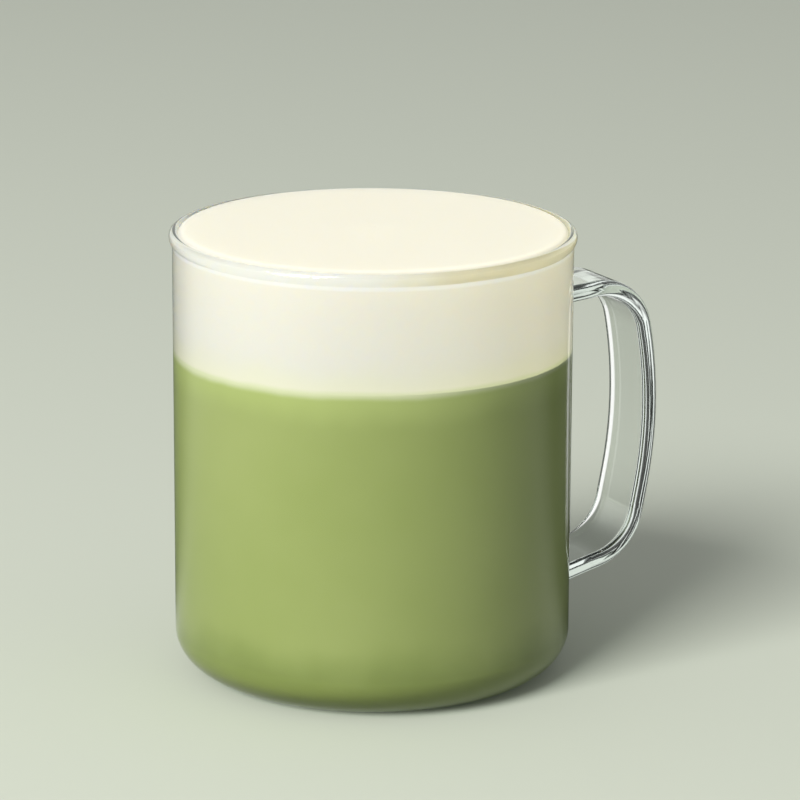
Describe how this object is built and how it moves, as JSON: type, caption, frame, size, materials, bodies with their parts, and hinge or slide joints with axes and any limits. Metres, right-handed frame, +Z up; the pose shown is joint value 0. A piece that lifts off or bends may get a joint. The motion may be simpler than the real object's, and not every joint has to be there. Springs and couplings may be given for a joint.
{
  "type": "matcha latte in a glass mug",
  "caption": "Green matcha latte under a thick layer of milk foam, filled to the brim of a clear glass mug with a flat strap handle.",
  "frame": {"origin": "centre of the base, on the surface that the mug stands on", "axes": "+Z up along the mug's axis, +X out along the handle, XZ the handle's plane of symmetry"},
  "size_m": [0.1098, 0.0864, 0.0967],
  "materials": {
    "clear_glass": "smooth clear borosilicate glass, fire-polished rim",
    "green_drink": "opaque milky green drink",
    "milk_foam": "dense ivory milk foam, soft and slightly moist"
  },
  "bodies": {
    "root": {"glass_mug": "clear_glass", "green_drink": "green_drink", "milk_foam": "milk_foam"}
  },
  "joints": []
}
